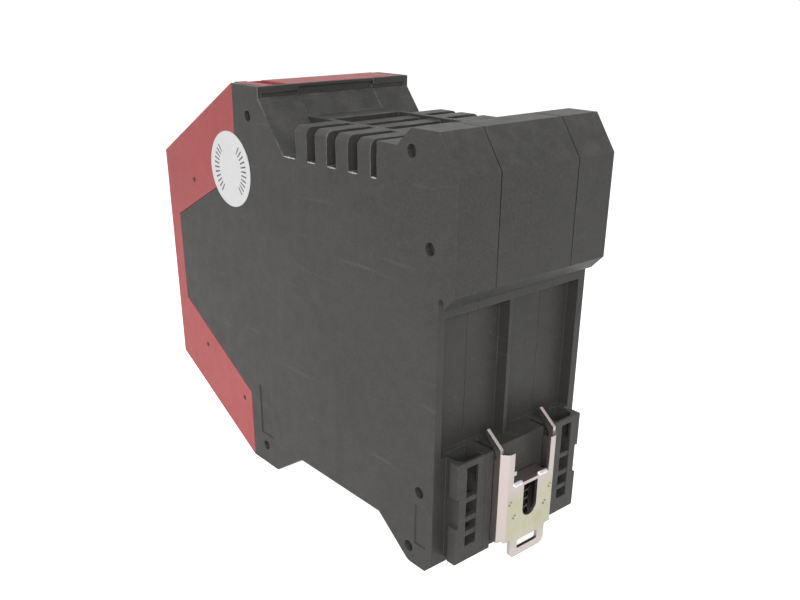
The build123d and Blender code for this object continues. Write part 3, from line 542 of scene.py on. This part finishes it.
# Side shells
# The outer thirds of the housing, from the same grey polyamide as the frame. They close over the
# boards from both sides and carry the vent ribs. A thin pale bar along the floor of each vent opening is
# a painted highlight where the floor's edge catches the light, and a dark strip in each seam of the rear
# block is painted shadow in the seam, with some grime.
dress(dark_polyamide, "right_side_shell", "left_side_shell")
vent_floor_z = 0.0384
vent_openings = [(-0.0514, -0.0467), (-0.0423, -0.0393), (-0.0350, -0.0320), (-0.0277, -0.0247),
                 (-0.0204, -0.0186)]
ridge_radius = 0.00018
ridge_sink = 0.00005
# Painted highlight: pale bars along the vent floors, where their edges catch the light.
vent_highlight_look = moulded("painted_vent_floor_highlight", (0.36, 0.36, 0.36), 0.5, 0.35, 0.010, edge_light=0.0, blotch=0.2)


def ridge(name, x, y_span, z, radius):
    """A thin straight bar along Y with pointed ends: circles in planes square to Y, whose radius grows
    from the ends like the square root of a sine and wavers a little."""
    columns = 8
    share = np.linspace(0, 1, 21)
    size = radius * np.sqrt(np.sin(np.pi * np.clip(share, 0.01, 0.99))) * (1 + 0.25 * np.sin(17 * share))
    y = y_span[0] + share * (y_span[1] - y_span[0])
    round_angle = np.linspace(0, 2 * np.pi, columns, endpoint=False)
    points = np.stack([x + size[:, None] * np.cos(round_angle)[None],
                       np.repeat(y[:, None], columns, axis=1),
                       z + size[:, None] * np.sin(round_angle)[None]], axis=-1)
    return surface(name, points[:, ::-1], True)


for side, side_name in ((1, "right"), (-1, "left")):
    shell_low, shell_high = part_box(side_name + "_side_shell")
    flank_x = shell_high.x if side > 0 else shell_low.x
    for number, opening in enumerate(vent_openings, 1):
        highlight_bar = ridge(f"{side_name}_vent_highlight_ridge_{number}", flank_x - side * ridge_sink, opening, vent_floor_z,
                      ridge_radius)
        highlight_bar.data.materials.append(vent_highlight_look)
        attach(highlight_bar, "housing")


def seam_line(name, x, corners, half_width, half_height):
    """A flat strip along a line of corners in the plane of Y and Z. The line is cut into short steps, and an
    ellipse, half_width along X and half_height along the line's normal, is carried along it. It shrinks
    to a point at both ends, like the square root of a sine."""
    corners = np.array(corners)
    lengths = np.concatenate([[0], np.cumsum(np.hypot(*np.diff(corners, axis=0).T))])
    far = np.unique(np.concatenate([np.linspace(0, lengths[-1], 60), lengths]))
    y, z = (np.interp(far, lengths, corners[:, axis]) for axis in (0, 1))
    along = np.stack([np.gradient(y, far), np.gradient(z, far)])
    along /= np.hypot(*along)
    size = np.sqrt(np.sin(np.pi * np.clip(far / lengths[-1], 0.002, 0.998)))
    round_angle = np.linspace(0, 2 * np.pi, 8, endpoint=False)
    wide = half_width * size[:, None] * np.cos(round_angle)[None]
    high = half_height * np.sin(round_angle)[None]
    points = np.stack([x + wide, y[:, None] - along[1][:, None] * high,
                       z[:, None] + along[0][:, None] * high], axis=-1)
    return surface(name, points, True)


# Painted shadow, with some grime: dark strips in the seams of the rear block.
seam_shadow_and_grime = moulded("seam_shadow_and_grime", (0.010, 0.010, 0.010), 0.8, 0.3, 0.008, edge_light=0.0, blotch=0.3,
                     specular=0.1)
seam_x = 0.01125
seam_half_width = 0.00011
seam_half_height = 0.00003
seam_corners = [(-0.0080, 0.0493), (-0.0008, 0.0493), (0.0045, 0.0417), (0.0045, 0.0193)]
for name, x in (("right_seam_shadow_and_grime", seam_x), ("left_seam_shadow_and_grime", -seam_x)):
    line = seam_line(name, x, seam_corners, seam_half_width, seam_half_height)
    line.data.materials.append(seam_shadow_and_grime)
    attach(line, "housing")

# Assembly pegs
# Twelve pegs of the same plastic as the housing, with a duller face, and a darker tone that paints the shade
# of their bores. They are pressed through the shells into the frame, and sunk in their bores.
peg_plastic = moulded("peg_plastic", (0.022, 0.022, 0.022), 0.55, 0.3, 0.01, edge_light=0.15, blotch=0.05)
dress(peg_plastic, "assembly_pegs")


# Front cover
# One red moulding, snapped over the front of the housing and held by its two long plates; the same
# grain as the housing, rubbed, with a painted shade that darkens it towards the top and lightens the
# foot. Dark plugs in the small pits of its flanks paint the shade in them, with some grime.
def round_plug(name, x, outward, y, z, radius, height):
    """A short cylinder on a plane square to X with a low dome on its outer end: circles that keep their
    size up to the dome, and there shrink as it rises, like a cosine."""
    columns = 16
    climb = np.linspace(0, np.pi / 2, 6)
    size = radius * np.concatenate([[1.0], np.maximum(np.cos(climb), 0.02)])
    rise = height * np.concatenate([[0.0], 0.85 + 0.15 * np.sin(climb)])
    round_angle = np.linspace(0, 2 * np.pi, columns, endpoint=False)
    points = np.stack([np.repeat((x + outward * rise)[:, None], columns, axis=1),
                       y + size[:, None] * np.cos(round_angle)[None],
                       z + size[:, None] * np.sin(round_angle)[None]], axis=-1)
    return surface(name, points if outward > 0 else points[:, ::-1], True)


# Painted shade: the cover is darker towards the top and lighter at the foot.
red_cover = moulded("faded_red_plastic", (0.335, 0.061, 0.063), 0.52, 0.4, 0.012, edge_light=0.6, height_shade=0.12,
                    blotch=0.05, dust_and_top_light=0.12)
dress(red_cover, "front_cover")
# Painted shade, with some grime: dark plugs that fill the small pits of the flanks.
pit_shade_look = moulded("pit_shade_and_grime", (0.035, 0.022, 0.020), 0.8, 0.3, 0.010, edge_light=0.0, blotch=0.3)
cover_low, cover_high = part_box("front_cover")
pit_places = [(-0.0946, 0.0267), (-0.0948, -0.0202), (-0.0762, -0.0303)]
pit_bottom = 0.0005
plug_radius = 0.00064
plug_height = 0.00042
for side, side_name, flank_x in ((1, "right", cover_high.x), (-1, "left", cover_low.x)):
    for number, (y, z) in enumerate(pit_places, 1):
        plug = round_plug(f"{side_name}_pit_shade_plug_{number}", flank_x - side * pit_bottom, side, y, z,
                          plug_radius, plug_height)
        plug.data.materials.append(pit_shade_look)
        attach(plug, "housing")

# Lamps and light pipes
# Four indicator lamps on the edge of the main board, and the clear square rods that lead their light
# to the nose.
clear_moulding = moulded("clear_moulding", (0.62, 0.63, 0.60), 0.2, 1.0, 0.002, edge_light=0.0)
dress(clear_moulding, "status_lamps", "light_pipes")

# Bare field on the nose
# A light grey film, glued into a shallow field of the nose where such modules carry their label; here
# it is left plain.
label_film = moulded("label_film", (0.62, 0.62, 0.60), 0.35, 0.8, 0.003, edge_light=0.0, blotch=0.03)
dress(label_film, "front_label_plate")


# Seal across the joint of cover and housing
# A round of white paper film, that tears if the module is opened. It is printed with two arcs of
# plain strokes.
def printed_paper(name, colour, ink, middle, radius, strokes, stroke_share, ring, arc_share):
    """White film with short radial strokes. A stroke shows where the distance from the middle is between
    the ring's two shares of the radius, where a saw wave of the angle is under the stroke's share, and
    where the sideways share of that distance is over the arc's share, which leaves two arcs."""
    look = moulded(name, colour, 0.55, 0.25, 0.004, edge_light=0.0, blotch=0.02)
    tree = look.node_tree
    make, join = tree.nodes.new, tree.links.new
    shader = tree.nodes["Principled BSDF"]
    plain = shader.inputs["Base Color"].links[0].from_socket
    place = make("ShaderNodeSeparateXYZ")
    join(make("ShaderNodeTexCoord").outputs["Object"], place.inputs[0])

    def worked(kind, first, second):
        """One step of arithmetic on two sockets or numbers."""
        node = make("ShaderNodeMath")
        node.operation = kind
        for i, value in enumerate((first, second)):
            if isinstance(value, float):
                node.inputs[i].default_value = value
            else:
                join(value, node.inputs[i])
        return node.outputs[0]

    y = worked("SUBTRACT", place.outputs["Y"], float(middle[1]))
    z = worked("SUBTRACT", place.outputs["Z"], float(middle[2]))
    far = worked("SQRT", worked("ADD", worked("MULTIPLY", y, y), worked("MULTIPLY", z, z)), 0.0)
    inside = worked("MULTIPLY", worked("GREATER_THAN", far, radius * ring[0]),
                    worked("LESS_THAN", far, radius * ring[1]))
    angle = worked("ARCTAN2", z, y)
    saw = worked("FRACT", worked("MULTIPLY", angle, strokes / (2 * math.pi)), 0.0)
    stroke = worked("LESS_THAN", saw, stroke_share)
    sideways = worked("GREATER_THAN", worked("DIVIDE", worked("ABSOLUTE", y, 0.0), far), arc_share)
    mark = worked("MULTIPLY", worked("MULTIPLY", inside, stroke), sideways)
    mixed = make("ShaderNodeMix")
    mixed.data_type = "RGBA"
    join(mark, mixed.inputs["Factor"])
    join(plain, mixed.inputs["A"])
    mixed.inputs["B"].default_value = (*ink, 1)
    join(mixed.outputs["Result"], shader.inputs["Base Color"])
    return look


seal_low, seal_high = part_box("seal_sticker")
seal_paper = printed_paper("seal_paper", (0.60, 0.60, 0.615), (0.06, 0.06, 0.07), (seal_low + seal_high) / 2,
                           (seal_high.y - seal_low.y) / 2, strokes=36, stroke_share=0.34, ring=(0.56, 0.80),
                           arc_share=0.55)
dress(seal_paper, "seal_sticker")

bpy.context.scene.view_settings.view_transform = "Standard"
